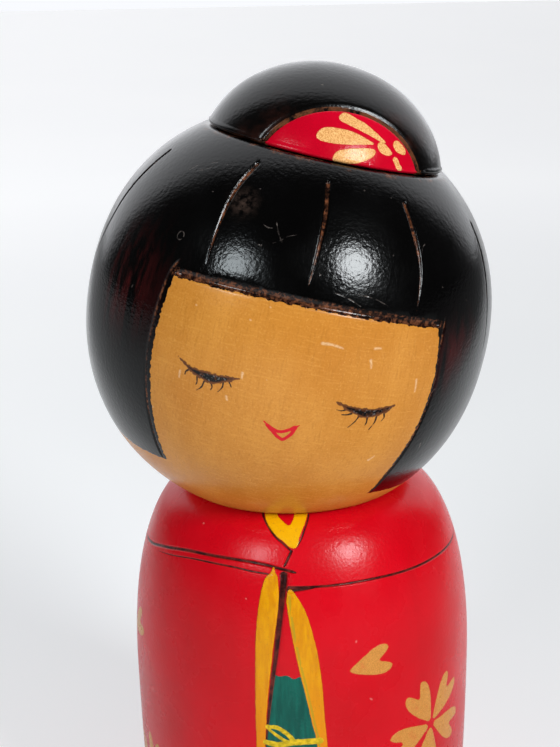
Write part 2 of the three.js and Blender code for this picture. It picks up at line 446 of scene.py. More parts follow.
kimono_cuts = [
    (on_body(YOKE_RIGHT), 0.42 * MM, 0.4 * MM, 0, 0),
    (on_body(YOKE_LEFT), 0.52 * MM, 0.45 * MM, 0.03, 0),
    (on_body(YOKE_FOLD), 0.32 * MM, 0.25 * MM, 0.08, 0.5),
    (on_body(COLLAR_CUT), 0.34 * MM, 0.35 * MM, 0, 0),
    (on_body(COLLAR_TAIL), 0.45 * MM, 0.45 * MM, 0, 0.2),
    (on_body(LAPEL_CUT), 0.3 * MM, 0.3 * MM, 0, 0.3),
    (on_body(FRONT_SEAM), 1.45 * MM, 0.7 * MM, 0.02, 0.95),
    (on_body(YOKE_NICK), 1.15 * MM, 0.6 * MM, 0.05, 0.8),
]
print(f"{len(kimono_cuts)} cuts in the kimono")

# %% [markdown]
# ## Brush paint on the kimono
# A yellow collar edge shows at the neck, and two yellow bands frame the front opening, where
# a green sash and its thin cord show. Cherry blossoms and loose petals are dabbed in gold all
# round. Each blossom is five notched petals round a centre, worked out once and turned.

# %% Painted shapes on the kimono
COLLAR_PAINT = smooth([(-12.6, -0.5), (-8.3, 2.1), (-4.6, 3.7), (-1.6, 4.7), (0.8, 5.7), (2.9, 6.05),
                       (4.3, 5.4), (4.9, 3.9), (7.4, 1.5), (9.2, -0.5), (3.4, -0.5), (2.5, 0.7),
                       (0.6, 1.9), (-2.8, 1.2), (-6.2, 0.2), (-7.5, -0.5)], closed=True, spans=5)
LEFT_BAND = smooth([(-4.5, 10.0), (-5.4, 11.2), (-7.4, 12.8), (-8.8, 17.8), (-9.5, 25), (-9.6, 38),
                    (-9.6, 55), (-10, 75), (-11.4, 100), (-12.6, 119), (-9.8, 119.5), (-8.6, 100),
                    (-7.3, 75), (-6.8, 55), (-6.0, 44.8), (-5.1, 37), (-4.0, 29), (-2.9, 22),
                    (-2.3, 16), (-2.9, 12.2), (-3.7, 11.2)], closed=True, spans=5)
RIGHT_BAND = smooth([(0.9, 14.9), (2.2, 15.0), (3.4, 15.9), (6.4, 19.6), (8.4, 24.3), (10.2, 30.7),
                     (11.2, 38.2), (11.8, 46.8), (12.7, 56), (13.6, 75), (15.2, 100), (16.4, 119),
                     (13.4, 119.5), (12.2, 100), (10.8, 75), (9.5, 55), (7.8, 47.5), (5.7, 39.2),
                     (3.8, 32.5), (2.1, 25.7), (0.7, 19.6), (0.3, 16.6)], closed=True, spans=5)
BAND_LINE = smooth([(1.3, 16.2), (1.7, 19.6), (3.0, 25.7), (4.7, 32.5), (6.6, 39.2), (8.6, 47.5),
                    (10.2, 55), (11.4, 75), (12.8, 100), (14, 119)])
SASH = smooth([(-4.6, 35), (-4.1, 34.8), (-2.1, 35.4), (0.5, 35.1), (2.5, 36.0), (4.8, 35.5),
               (6.6, 39.2), (8.5, 47.5), (10.4, 57), (10.9, 68), (2, 68.6), (-7.2, 68), (-6.9, 57),
               (-5.9, 47.5), (-5.1, 40)], closed=True, spans=4)
SASH_LOOP = smooth([(-6.0, 48.9), (-3.2, 48.9), (-0.9, 49.9), (1.0, 51.2), (2.0, 52.6)])
SASH_LOOP_BACK = smooth([(-6.0, 49.3), (-3.4, 50.9), (-1.0, 52.2), (1.0, 52.9)])
SASH_CORD = smooth([(-6.6, 53.2), (-2.5, 53.6), (2.6, 52.8), (10.2, 52.5)])
SASH_CORD_LOW = smooth([(-6.9, 55.6), (0, 56.1), (10.3, 55.2)])

PETAL_HALF = [(0.0, 1.1), (1.8, 3.8), (3.4, 7.4), (4.1, 10.2), (3.8, 12.4), (2.6, 13.3),
              (1.3, 11.8), (0.0, 9.6)]
PETAL = np.array(PETAL_HALF + [(-across, out) for across, out in PETAL_HALF[-2:0:-1]])


def petal_outline(angle, drop, turned, size=1.0, out=0.0):
    """One notched petal. It points up at 0 and turns clockwise; out moves it from the centre."""
    swing = math.radians(turned)
    across = PETAL[:, 0] * size
    along = PETAL[:, 1] * size + out
    right = across * math.cos(swing) + along * math.sin(swing)
    up = -across * math.sin(swing) + along * math.cos(swing)
    per_degree = math.radians(1) * float(body_radius(BODY_TOP - drop * MM)) / MM
    return smooth(np.column_stack([angle + right / per_degree, drop - up]), closed=True, spans=4)


# Blossoms: angle round the body, drop below its top, turn of the first petal, size.
BLOSSOMS = [(50.9, 56.7, -27.5, 1.0), (-58.5, 79, 8, 0.95), (104, 78, 20, 1.0),
            (150, 46, -12, 0.9), (-150, 66, 30, 1.0), (-104, 47, -20, 0.85), (178, 96, 5, 1.0),
            (70, 102, 12, 0.8), (-96, 104, -8, 0.8)]
# Loose petals: angle, drop, direction, size.
LOOSE_PETALS = [(21.3, 34.9, 80, 0.9), (-74.5, 40, 60, 0.9), (112, 38, -40, 0.8), (128, 104, 100, 0.8),
                (-128, 96, -70, 0.8), (-168, 40, 30, 0.8), (34, 84, 150, 0.8), (-34, 103, 60, 0.8)]

gold_outlines = [petal_outline(angle, drop, first + 72 * number, size)
                 for angle, drop, first, size in BLOSSOMS for number in range(5)]
gold_outlines += [petal_outline(*petal, out=-2.0) for petal in LOOSE_PETALS]
yellow_outlines = [COLLAR_PAINT, LEFT_BAND, RIGHT_BAND]
print(f"{len(gold_outlines)} gold petals round the kimono")

# %% Carve and mark the kimono
paint_lines = [on_body(line) for line in gold_outlines + yellow_outlines + [SASH]]
fine_lines = [cut[0] for cut in kimono_cuts]
fine_lines += [on_body(line) for line in (SASH_LOOP, SASH_LOOP_BACK, SASH_CORD, SASH_CORD_LOW)]
body_limits = (body_radius, FOOT_ROUND, BODY_TOP - 0.001 * MM)
refine(kimono, paint_lines + fine_lines, [1.5 * MM], *body_limits)
refine(kimono, fine_lines + [on_body(line) for line in yellow_outlines], [1.3 * MM], *body_limits)
refine(kimono, fine_lines, [0.85 * MM], *body_limits)

points = points_of(kimono)
angles = np.degrees(np.arctan2(points[:, 0], -points[:, 1]))
drops = (BODY_TOP - points[:, 2]) / MM
outside = (np.hypot(points[:, 0], points[:, 1]) > NECK_SEAT_RADIUS - 3 * MM) | (drops > 3)


def body_area(outline):
    return np.where(outside, area(points, angles, drops, outline, BODY_SURFACE), -FAR)


keep(kimono, "yellow", join([body_area(outline) for outline in yellow_outlines]))
keep(kimono, "gold", join([body_area(outline) for outline in gold_outlines]))
keep(kimono, "green", body_area(SASH))
keep(kimono, "cord", join([
    stroke(points, on_body(SASH_LOOP), 0.5, 0.65),
    stroke(points, on_body(SASH_LOOP_BACK), 0.35, 0.5),
    stroke(points, on_body(SASH_CORD), 0.7, 0.85),
    stroke(points, on_body(SASH_CORD_LOW), 0.35, 0.45)]))
keep(kimono, "band_line", stroke(points, on_body(BAND_LINE), 0.28, 0.2))
keep(kimono, "cut", carve(kimono, kimono_cuts))

# %% [markdown]
# ## The head
# The head is a slightly square ball. It is modelled upright at the origin with its face to
# -Y, carved and marked there, cut flat for the bun and the neck, and only then leaned over
# into its place. The neck hole is bored with a boolean, straight up the body's axis.

# %% Head profile


def head_radius(heights):
    return super_level(heights, HEAD_RADIUS, HEAD_HALF_HEIGHT, HEAD_FULLNESS)


def head_level(levels):
    """Levels on the head are heights above its middle."""
    return levels


HEAD_SURFACE = (head_radius, head_level)


def on_head(line):
    return laid(line, *HEAD_SURFACE)


def ball_outline(rows):
    turns = np.linspace(-math.pi / 2, math.pi / 2, rows)
    outline = [(HEAD_RADIUS * math.cos(turn) ** (2 / HEAD_FULLNESS),
                HEAD_HALF_HEIGHT * math.copysign(abs(math.sin(turn)) ** (2 / HEAD_FULLNESS), turn))
               for turn in turns[1:-1]]
    return [(0, -HEAD_HALF_HEIGHT), *outline, (0, HEAD_HALF_HEIGHT)]


head = turn("head_carved", ball_outline(rows=112), steps=240)

# %% Hair lines
FRINGE_LEVEL = 12.5
FRINGE_ARCH = 1.15
FRINGE_END = 38
HEM_LEVEL = -34
FACE_RIGHT = [(38.2, 12.3), (39.0, 7.5), (39.7, 0.8), (39.5, -4.6), (38.9, -11), (38.1, -17.5),
              (37.2, -25), (37.3, -31.3)]
FACE_LEFT = [(-34.7, -32.1), (-35.6, -28.5), (-36.3, -24), (-37, -19.5), (-37.8, -12.5),
             (-38.2, -6), (-38, 0), (-37.3, 7), (-36.6, 12.5)]
fringe_marks = [
    (angle, FRINGE_LEVEL + FRINGE_ARCH * math.cos(math.radians(90 * angle / FRINGE_END)))
    for angle in np.linspace(FACE_LEFT[-1][0], FACE_RIGHT[0][0], 9)]
HAIR_HEM_RIGHT = [(37.3, -31.3), (54, -31.2), (80, -32), (120, -33), (180, -33)]
HAIR_HEM_LEFT = [(-180, -33), (-120, -33.4), (-80, -33.4), (-55, -33.4), (-34.7, -32.1)]
face_edge = np.vstack([smooth(HAIR_HEM_LEFT), smooth(FACE_LEFT), smooth(fringe_marks),
                       smooth(FACE_RIGHT), smooth(HAIR_HEM_RIGHT)])
wood_outline = np.vstack([[(-182, -33)], face_edge, [(182, -33), (182, -60), (-182, -60)]])


def beside(marks, shift):
    """The same marks, moved round the head by some degrees."""
    return [(angle + shift, level) for angle, level in marks]


LOCK_LEFT = smooth([(-36.5, 16.6), (-38.6, 12)] + beside(FACE_LEFT[::-1][2:], -1.7))
LOCK_RIGHT = smooth([(40.6, 15)] + beside(FACE_RIGHT[1:], 0.9))
FRINGE_CUT = smooth([(angle, level + 0.85) for angle, level in fringe_marks])

# Strands of hair: four marks each, from under the bun to the tip. Four strands are behind.
STRANDS = [
    [(-73, 35), (-75.8, 24), (-77, 15.7), (-80.5, 6)],
    [(-28.4, 38.6), (-30, 33), (-29.4, 24), (-28.6, 16.7)],
    [(-0.7, 38.4), (0, 32), (-0.4, 25), (-1.3, 17.4)],
    [(28.9, 37), (29.9, 32), (31, 25), (29.8, 16)],
    [(68.4, 33.2), (67.8, 27), (66.6, 18), (66.1, 4.5)],
    [(110, 39.5), (112, 28), (113, 16), (111, 2)],
    [(154, 39.5), (157, 26), (158, 12), (156, -4)],
    [(-154, 39.5), (-157, 26), (-157, 12), (-159, -6)],
    [(-113, 39.5), (-116, 28), (-117, 14), (-115, 1)],
]
head_cuts = [
    (on_head(FRINGE_CUT), 0.95 * MM, 0.6 * MM, 0.02, 0.02),
    (on_head(LOCK_LEFT), 0.42 * MM, 0.4 * MM, 0.04, 0.05),
    (on_head(LOCK_RIGHT), 0.42 * MM, 0.4 * MM, 0.04, 0.05),
]
head_cuts += [(on_head(smooth(marks)), 0.62 * MM, 0.55 * MM, 0, 0.7) for marks in STRANDS]
print(f"{len(head_cuts)} cuts in the hair, {len(STRANDS)} of them strands")

# %% [markdown]
# ## The face
# The eyes are closed: each is a dark crescent that sags in the middle, with a few short
# lashes below it. The mouth is a small red outline of a smile.

# %% Painted features
EYES = [
    smooth([(-29.8, -3.9), (-27.1, -4.8), (-24.5, -5.15), (-21.6, -5.1), (-18.2, -5.0), (-15.2, -4.6),
            (-13.0, -4.5), (-14.7, -5.5), (-16.6, -6.3), (-18.4, -7.1), (-20.5, -7.4), (-22.7, -7.0),
            (-24.9, -6.5), (-26.6, -5.9), (-28.2, -4.9)], closed=True, spans=4),
    smooth([(11.9, -5.4), (14.7, -5.9), (17.4, -6.15), (20.3, -6.3), (23.5, -6.1), (26.2, -5.5),
            (28.6, -5.1), (27.4, -6.3), (26.0, -7.2), (23.4, -8.1), (21.5, -8.6), (19.9, -8.5),
            (18.1, -8.0), (15.6, -7.3), (13.4, -6.2)], closed=True, spans=4),
]
LASHES = [
    [(-26.4, -5.9), (-27.2, -6.6), (-27.3, -7.3)], [(-23.9, -6.9), (-23.7, -8.0), (-23.9, -8.8)],
    [(-21.8, -7.4), (-22.3, -8.9), (-23.5, -10.0)], [(-19.9, -7.3), (-19.5, -8.1), (-19.7, -8.9)],
    [(-16.8, -6.3), (-16.9, -7.6), (-17.8, -8.9)], [(-15.4, -5.9), (-14.9, -6.5), (-14.6, -7.0)],
    [(16.8, -7.8), (15.7, -8.2), (14.3, -8.3)], [(19.0, -8.3), (18.3, -9.8), (16.9, -11.3)],
    [(21.5, -8.5), (21.7, -9.5), (21.5, -10.5)], [(24.1, -8.0), (24.0, -9.7), (23.1, -11.4)],
    [(26.0, -7.2), (26.4, -8.2), (25.9, -9.2)], [(15.0, -7.0), (13.9, -7.4), (12.6, -7.3)],
]
MOUTH = smooth([(-3.8, -13.7), (-2.9, -14.1), (-1.5, -14.6), (0.3, -14.6), (2.0, -13.8), (3.4, -12.9),
                (3.1, -14.1), (2.2, -15.5), (0.9, -16.5), (-0.7, -15.9), (-2.1, -14.9)],
               closed=True, spans=6)
MOUTH_WISPS = [smooth([(-4.9, -12.9), (-3.9, -13.5), (-2.6, -14.2)]),
               smooth([(4.4, -12.2), (3.6, -12.8), (2.4, -13.6)])]
print(f"{len(EYES)} eyes with {len(LASHES)} lashes, and a mouth")

# %% [markdown]
# ## Wear
# The doll has been handled for years. Its hair has pale scratches and a few worn patches, and
# the varnish on the face has small nicks. The ones that show are listed one by one, as short
# strokes, and the finish adds finer ones everywhere.

# %% Scratches, nicks and worn patches
# Scratches in the lacquer. The last is a small ring, as a knocked tube leaves.
ring_turns = np.linspace(0, 330, 12)
SCRATCHES = [
    [(-16.9, 27.8), (-15.5, 27.5), (-14.1, 27.6)],
    [(-12.9, 24.8), (-11.2, 25.5), (-9.4, 26.7), (-7.1, 27.4)],
    [(5.9, 17.7), (9.5, 17.1), (13.2, 15.8)], [(12.2, 18.2), (16.5, 17.8), (20.7, 16.7)],
    [(-13.6, 28.9), (-12.2, 27), (-10.6, 25.4)], [(41.2, -1.3), (40.3, -3.6), (39.1, -6.1)],
    [(44.6, -15.9), (45.3, -18.2), (45.7, -20.7)], [(33.8, 29.7), (32.6, 29), (31.8, 27.6)],
    [(-51.5, 33.5), (-49.7, 34.9), (-46.7, 35.8), (-43.1, 36.8)],
    [(-48.7, 33.7), (-45.2, 34.8), (-42.8, 36.0)],
    [(120, 20), (124, 18), (129, 17.5)], [(165, 6), (168, 2), (170, -1)],
    [(-140, 14), (-136, 11), (-133, 10.5)], [(-98, -12), (-95, -14), (-93, -17)],
    [(90, -8), (93, -10), (97, -10.5)],
    [(-39.4 + 1.05 * math.cos(turn), 20.9 + 0.9 * math.sin(turn)) for turn in np.radians(ring_turns)],
]
# Pale nicks in the varnish of the face.
NICKS = [
    [(5.1, 7.0), (7.8, 7.0), (10.4, 6.6)], [(18.9, 7.4), (19.7, 7.6), (20.5, 7.6)],
    [(18.4, 4.8), (18.7, 3.9), (18.9, 3.1)], [(33.4, 0.9), (33.7, -0.4), (33.8, -1.8)],
    [(27.2, -19.7), (27.9, -19.2), (28.5, -18.6)], [(-28.8, -6.9), (-28.9, -7.6), (-28.8, -8.4)],
    [(-12.5, -3.1), (-12.5, -3.7), (-12.4, -4.3)], [(-15.5, -9.3), (-15.3, -9.7), (-15.1, -10.1)],
]
# Worn patches and smudges: angle, height, reach in millimetres and strength.
WORN_PATCHES = [(-53, 7, 9, 1.0), (-57, 2, 6, 0.8), (45.8, 6, 5, 0.9), (51, 9, 5, 0.6), (44, 1, 4, 0.6),
                (-118, -8, 8, 0.8), (96, -14, 9, 0.8), (150, 10, 7, 0.6), (-160, -18, 9, 0.7)]
SMUDGES = [(-25.4, 31.0, 2.2, 1.0), (135, 30, 3, 0.8)]


def patches(points, spots):
    """A soft measure that is high on the spots and falls away round them."""
    field = np.zeros(len(points))
    for angle, level, reach, strength in spots:
        middle = on_head(np.array([[angle, level]]))[0]
        gap = np.linalg.norm(points - middle, axis=1) / (reach * MM)
        field = np.maximum(field, strength * np.exp(-gap ** 2))
    return field


print(f"{len(SCRATCHES)} scratches, {len(NICKS)} nicks, {len(WORN_PATCHES)} worn patches")

# %% Carve and mark the head
lash_lines = [on_head(smooth(marks)) for marks in LASHES]
face_lines = [on_head(line) for line in EYES + MOUTH_WISPS]
mouth_line = on_head(np.vstack([MOUTH, MOUTH[:1]]))
scratch_lines = [on_head(smooth(marks, spans=4)) for marks in SCRATCHES]
nick_lines = [on_head(smooth(marks, spans=4)) for marks in NICKS]
fine_lines = [cut[0] for cut in head_cuts] + lash_lines + face_lines + [mouth_line]
fine_lines += scratch_lines + nick_lines
ball_limits = (head_radius, -HEAD_HALF_HEIGHT + MM, HEAD_HALF_HEIGHT - MM)
refine(head, fine_lines + [on_head(face_edge)], [1.9 * MM], *ball_limits)
refine(head, fine_lines + [on_head(face_edge)], [1.25 * MM], *ball_limits)
refine(head, fine_lines, [0.8 * MM], *ball_limits)

points = points_of(head)
angles = np.degrees(np.arctan2(points[:, 0], -points[:, 1]))
levels = points[:, 2] / MM


def head_area(outline):
    return area(points, angles, levels, outline, HEAD_SURFACE)


wood = head_area(wood_outline)
edge_gap = np.minimum(nearest(on_head(face_edge), points)[0] / MM, FAR)
keep(head, "wood", np.where(wood > -FAR, np.sign(wood) * edge_gap,
                            np.where(levels < HEM_LEVEL, edge_gap, -edge_gap)))
keep(head, "eye", join([head_area(outline) for outline in EYES]))
keep(head, "lash", join([stroke(points, line, 0.16, 0.05) for line in lash_lines]))
keep(head, "lip", join([stroke(points, mouth_line, 0.42, 0.42)]
                       + [stroke(points, on_head(line), 0.1, 0.4) for line in MOUTH_WISPS]))
keep(head, "scratch", join([stroke(points, line, 0.09, 0.05) for line in scratch_lines]))
keep(head, "nick", join([stroke(points, line, 0.26, 0.16) for line in nick_lines]))
keep(head, "worn", patches(points, WORN_PATCHES))
keep(head, "smudge", patches(points, SMUDGES))
keep(head, "fringe", stroke(points, on_head(FRINGE_CUT), 0.95, 0.95))
keep(head, "seat", levels - BUN_SEAT / MM)
keep(head, "cut", carve(head, head_cuts))

# %% Cut the two flats and bore the neck hole


def cut_flat(piece, point, outward):
    """Takes off everything beyond a plane, and closes the piece with a flat face."""
    work_on(piece)
    bpy.ops.object.mode_set(mode="EDIT")
    bpy.ops.mesh.select_all(action="SELECT")
    bpy.ops.mesh.bisect(plane_co=point, plane_no=outward, use_fill=True, clear_outer=True,
                        threshold=0.001 * MM)
    bpy.ops.object.mode_set(mode="OBJECT")


def subtract(piece, cutter):
    """Bores the cutter's shape out of the piece."""
    work_on(piece)
    modifier = piece.modifiers.new("bore", "BOOLEAN")
    modifier.operation = "DIFFERENCE"
    modifier.solver = "MANIFOLD"
    modifier.object = cutter
    bpy.ops.object.modifier_apply(modifier=modifier.name)
    bpy.data.objects.remove(cutter)


def put_in_place(piece, place):
    """Moves a finished piece into its place, and keeps the place in its mesh."""
    work_on(piece)
    piece.matrix_world = place
    bpy.ops.object.transform_apply(location=True, rotation=True, scale=True)


cut_flat(head, (0, 0, BUN_SEAT), (0, 0, 1))
put_in_place(head, HEAD_PLACE)
cut_flat(head, (0, 0, BODY_TOP + TOUCH_GAP), (0, 0, -1))
hole_radius = NECK_PEG_RADIUS + PEG_GAP
bore_low = BODY_TOP - 2 * MM
bore_high = neck_peg_high.z + NECK_HOLE_SPARE
neck_bore = turn("neck_bore", [(0, bore_low), (hole_radius, bore_low), (hole_radius, bore_high),
                               (0, bore_high)], steps=64)
subtract(head, neck_bore)
print("head: low", round(points_of(head)[:, 2].min() / MM, 2), "mm, faces", len(head.data.polygons))

# %% [markdown]
# ## The bun and the hair cloth
# The bun is a dome with a hole for its small peg. Its front is cut off upright, and a lower
# dome in red, cut along the same plane and `TOUCH_GAP` in front of it, is set against the
# flat. Before the cut, both domes are eased off towards the plane, so that a small V shows
# all along the seam between them.

# %% Domes
dome_place = HEAD_PLACE @ Matrix.Translation((0, 0, BUN_CENTRE))
cloth_front = compass(1, CLOTH_TURN)


def dome_outline(shrink, ease, hole):
    """From the axis at the base, round an eased lower edge, up to the top of the dome."""
    radius = BUN_RADIUS - shrink
    half_height = BUN_HALF_HEIGHT - shrink
    start = math.asin((BUN_CUT + ease) / half_height)
    rim = radius * math.cos(math.asin(BUN_CUT / half_height))
    edge = [(rim - ease * (1 - math.sin(turn)), BUN_CUT + ease * (1 - math.cos(turn)))
            for turn in quarter(6)]
    dome = [(radius * math.cos(turn), half_height * math.sin(turn))
            for turn in np.linspace(start, math.pi / 2, 72)[1:-1]]
    base = [(0, BUN_CUT), (10 * MM, BUN_CUT)]
    if hole:
        depth = BUN_CUT + BUN_HOLE_DEPTH
        base = [(0, depth), (hole, depth), (hole, BUN_CUT), (10 * MM, BUN_CUT)]
    return [*base, *edge, *dome, (0, half_height)]


def dome_radius(shrink):
    """A function that gives the dome's radius at each height."""
    return lambda heights: super_level(
        heights, BUN_RADIUS - shrink, BUN_HALF_HEIGHT - shrink, 2)


def seam_gap(points):
    """How far each point lies behind the plane of the seam, in metres."""
    front = np.array(cloth_front)
    return CLOTH_FORWARD - points @ front


def seam_line(shrink):
    """Where the seam's plane meets the dome."""
    radius = BUN_RADIUS - shrink
    rows = np.linspace(BUN_CUT, BUN_HALF_HEIGHT - shrink, 160)
    reach = super_level(rows, radius, BUN_HALF_HEIGHT - shrink, 2)
    open_rows = reach > CLOTH_FORWARD
    turns = np.arccos(CLOTH_FORWARD / reach[open_rows])
    sides = []
    for side in (-1, 1):
        swing = math.radians(CLOTH_TURN) + side * turns
        sides.append(np.column_stack([reach[open_rows] * np.sin(swing),
                                      -reach[open_rows] * np.cos(swing), rows[open_rows]]))
    return np.vstack([sides[0], sides[1][::-1]])


def ease_to_seam(piece, width, depth):
    """Presses the dome in towards the seam, most at the plane."""
    points = points_of(piece)
    gap = np.abs(seam_gap(points))
    press = depth * np.clip(1 - gap / width, 0, 1) ** 1.6
    press[points[:, 2] < BUN_CUT + 0.01 * MM] = 0
    put_points(piece, points - normals_of(piece) * press[:, None])


bun = turn("hair_bun_domed", dome_outline(0, 1.0 * MM, BUN_PEG_RADIUS + PEG_GAP), steps=200)
bun_limits = (dome_radius(0), BUN_CUT + 1.2 * MM, BUN_HALF_HEIGHT - 0.2 * MM)
refine(bun, [seam_line(0)], [1.8 * MM, 1.2 * MM], *bun_limits)
points = points_of(bun)
keep(bun, "seam", seam_gap(points) / MM)
keep(bun, "base", (points[:, 2] - BUN_CUT) / MM)
ease_to_seam(bun, 0.9 * MM, 0.5 * MM)
cut_flat(bun, cloth_front * CLOTH_FORWARD, cloth_front)

# %% Gold flower on the hair cloth
cloth = turn("hair_cloth_slice", dome_outline(CLOTH_STEP, 0.8 * MM, 0), steps=260)


def cloth_level(levels):
    """Levels on the cloth are heights above the head's centre."""
    return levels - BUN_CENTRE


CLOTH_SURFACE = (dome_radius(CLOTH_STEP), cloth_level)
CLOTH_PETALS = [
    smooth([(-0.5, 51.7), (1.2, 52.6), (3.8, 52.7), (8, 52.2), (15.7, 51.1), (24.9, 48.7),
            (25.2, 48.1), (22.9, 48.2), (15.5, 49.3), (7.6, 50.2), (1, 50.9)], closed=True, spans=5),
    smooth([(-9.9, 47.0), (-9.2, 48), (-7.4, 48.8), (-2.6, 49.3), (7.7, 49.2), (17.7, 47.9),
            (18.4, 47.4), (15.6, 47.2), (5.2, 46.4), (-4.8, 46), (-8.8, 46.3)], closed=True, spans=5),
    smooth([(-0.3, 42.9), (0.3, 44), (2.2, 44.9), (5.4, 45.5), (12, 46.2), (18, 46.5), (20, 46.1),
            (18.6, 44.9), (14, 43.5), (8.6, 42.6), (4, 42.2), (0.9, 42.3)], closed=True, spans=5),
    smooth([(21, 47.4), (22.4, 48.1), (24.6, 48.1), (27.4, 47.2), (29.4, 46.2), (27.6, 45.7),
            (24.6, 45.7), (21.9, 46.4)], closed=True, spans=5),
    smooth([(30.4, 48), (31.8, 48.9), (34.4, 48.9), (37, 48), (38.3, 47), (37.3, 46.3),
            (34, 46.4), (31.4, 47)], closed=True, spans=5),
    smooth([(29.7, 45), (31, 45.6), (32.7, 45.2), (33.6, 44.3), (35.1, 43.6), (34.4, 42.9),
            (32.4, 42.9), (31.2, 43.8)], closed=True, spans=5),
]
cloth_lines = [laid(line, *CLOTH_SURFACE) for line in CLOTH_PETALS]
cloth_limits = (dome_radius(CLOTH_STEP), BUN_CUT + 1.0 * MM, BUN_HALF_HEIGHT - CLOTH_STEP - 0.2 * MM)
refine(cloth, cloth_lines + [seam_line(CLOTH_STEP)], [1.2 * MM, 0.7 * MM], *cloth_limits)
points = points_of(cloth)
angles = np.degrees(np.arctan2(points[:, 0], -points[:, 1]))
levels = (points[:, 2] + BUN_CENTRE) / MM
keep(cloth, "gold", join([area(points, angles, levels, outline, CLOTH_SURFACE)
                          for outline in CLOTH_PETALS]))
keep(cloth, "seam", -seam_gap(points) / MM)
ease_to_seam(cloth, 0.6 * MM, 0.3 * MM)
cut_flat(cloth, cloth_front * (CLOTH_FORWARD + TOUCH_GAP), -cloth_front)
for piece in (bun, cloth):
    put_in_place(piece, dome_place)
    print(piece.name, len(piece.data.polygons), "faces")

# %% [markdown]
# ## Smooth shading
# Turned wood is smooth all round, and only the rims of the flats and holes are sharp.

# %% Shade the pieces
SHARP = 60
for piece in (kimono, head, bun, cloth):
    work_on(piece)
    bpy.ops.object.shade_smooth_by_angle(angle=math.radians(SHARP))
print(f"edges over {SHARP} degrees stay sharp")

# %% [markdown]
# ## Node helpers
# Every finish is made of the same few steps: read a measure that was kept on the piece, make
# it a mask with a soft edge, lay one colour over another through the mask, and add bumps.

# %% Node helpers


class Finish:
    """A material under construction: short calls for the nodes that are used again and again."""

    def __init__(self, name):
        self.material = bpy.data.materials.new(name)
        self.material.use_nodes = True
        self.tree = self.material.node_tree
        self.shader = self.tree.nodes["Principled BSDF"]
        self.object_place = self.node("ShaderNodeTexCoord").outputs["Object"]

    def node(self, kind, **settings):
        made = self.tree.nodes.new(kind)
        for key, value in settings.items():
            setattr(made, key, value)
        return made

    def link(self, source, target):
        self.tree.links.new(source, target)

    def put(self, socket, value):
        """Links a node's output to the socket, or sets a plain number or colour on it."""
        if isinstance(value, bpy.types.NodeSocket):
            self.link(value, socket)
        elif isinstance(value, tuple) and socket.type == "RGBA" and len(value) == 3:
            socket.default_value = (*value, 1)
        else:
            socket.default_value = value

    def measure(self, name):
        """A measure that was kept on the piece."""
        return self.node("ShaderNodeAttribute", attribute_name=name).outputs["Fac"]

    def math(self, operation, first, second=0.0, clamp=False):
        made = self.node("ShaderNodeMath", operation=operation, use_clamp=clamp)
        self.put(made.inputs[0], first)
        self.put(made.inputs[1], second)
        return made.outputs[0]

    def times(self, first, second):
        return self.math("MULTIPLY", first, second)

    def either(self, first, second):
        return self.math("MAXIMUM", first, second)

    def ramp(self, value, low, high, to_low=0.0, to_high=1.0):
        """A soft step from one value to another as the input goes from low to high."""
        made = self.node("ShaderNodeMapRange", interpolation_type="SMOOTHSTEP")
        for socket, given in zip(made.inputs, (value, low, high, to_low, to_high)):
            self.put(socket, given)
        return made.outputs[0]

    def mix(self, share, under, over):
        """One colour laid over another, through a mask."""
        made = self.node("ShaderNodeMix", data_type="RGBA")
        self.put(made.inputs["Factor"], share)
        self.put(made.inputs[6], under)
        self.put(made.inputs[7], over)
        return made.outputs[2]

    def place(self, scale=(1, 1, 1), turned=None, origin=(0, 0, 0)):
        """Object coordinates, seen from an origin, turned upright and stretched."""
        made = self.node("ShaderNodeMapping", vector_type="TEXTURE")
        self.link(self.object_place, made.inputs["Vector"])
        made.inputs["Location"].default_value = origin
        if turned is not None:
            made.inputs["Rotation"].default_value = turned
        stretched = self.node("ShaderNodeVectorMath", operation="MULTIPLY")
        self.link(made.outputs[0], stretched.inputs[0])
        stretched.inputs[1].default_value = scale
        return stretched.outputs[0]

    def noise(self, vector, scale, detail=3.0, roughness=0.55):
        made = self.node("ShaderNodeTexNoise")
        self.link(vector, made.inputs["Vector"])
        made.inputs["Scale"].default_value = scale
        made.inputs["Detail"].default_value = detail
        made.inputs["Roughness"].default_value = roughness
        return made.outputs["Fac"]

    def cloud(self, vector, scale, low, high, to_low=0.0, to_high=1.0, detail=3.0, roughness=0.55):
        """Noise through a soft step: scattered patches with soft edges."""
        noise = self.noise(vector, scale, detail=detail, roughness=roughness)
        return self.ramp(noise, low, high, to_low, to_high)

    def cells(self, vector, scale):
        """How far each place is from the nearest of many scattered points."""
        made = self.node("ShaderNodeTexVoronoi")
        self.link(vector, made.inputs["Vector"])
        made.inputs["Scale"].default_value = scale
        return made.outputs["Distance"]

    def bump(self, height, distance, strength=1.0, below=None):
        """A fine relief of a given height in metres, on top of an earlier one."""
        made = self.node("ShaderNodeBump")
        made.inputs["Strength"].default_value = strength
        made.inputs["Distance"].default_value = distance
        self.link(height, made.inputs["Height"])
        if below is not None:
            self.link(below, made.inputs["Normal"])
        return made.outputs["Normal"]

    def finish(self, color, roughness, normal, specular=0.5):
        self.put(self.shader.inputs["Base Color"], color)
        self.put(self.shader.inputs["Roughness"], roughness)
        self.link(normal, self.shader.inputs["Normal"])
        self.shader.inputs["Specular IOR Level"].default_value = specular
        print(f"{self.material.name}: {len(self.tree.nodes)} nodes")


HEAD_TURN = HEAD_PLACE.to_euler()
HEAD_ORIGIN = HEAD_PLACE.to_translation()


def edge(finish, field, wobble, softness=0.05, shift=0.0):
    """A painted mask with a slightly unsteady edge, from a measure in millimetres."""
    unsteady = finish.math("MULTIPLY_ADD", wobble, 0.3)
    unsteady.node.inputs[2].default_value = -0.15 + shift
    return finish.ramp(finish.math("ADD", field, unsteady), -softness, softness)


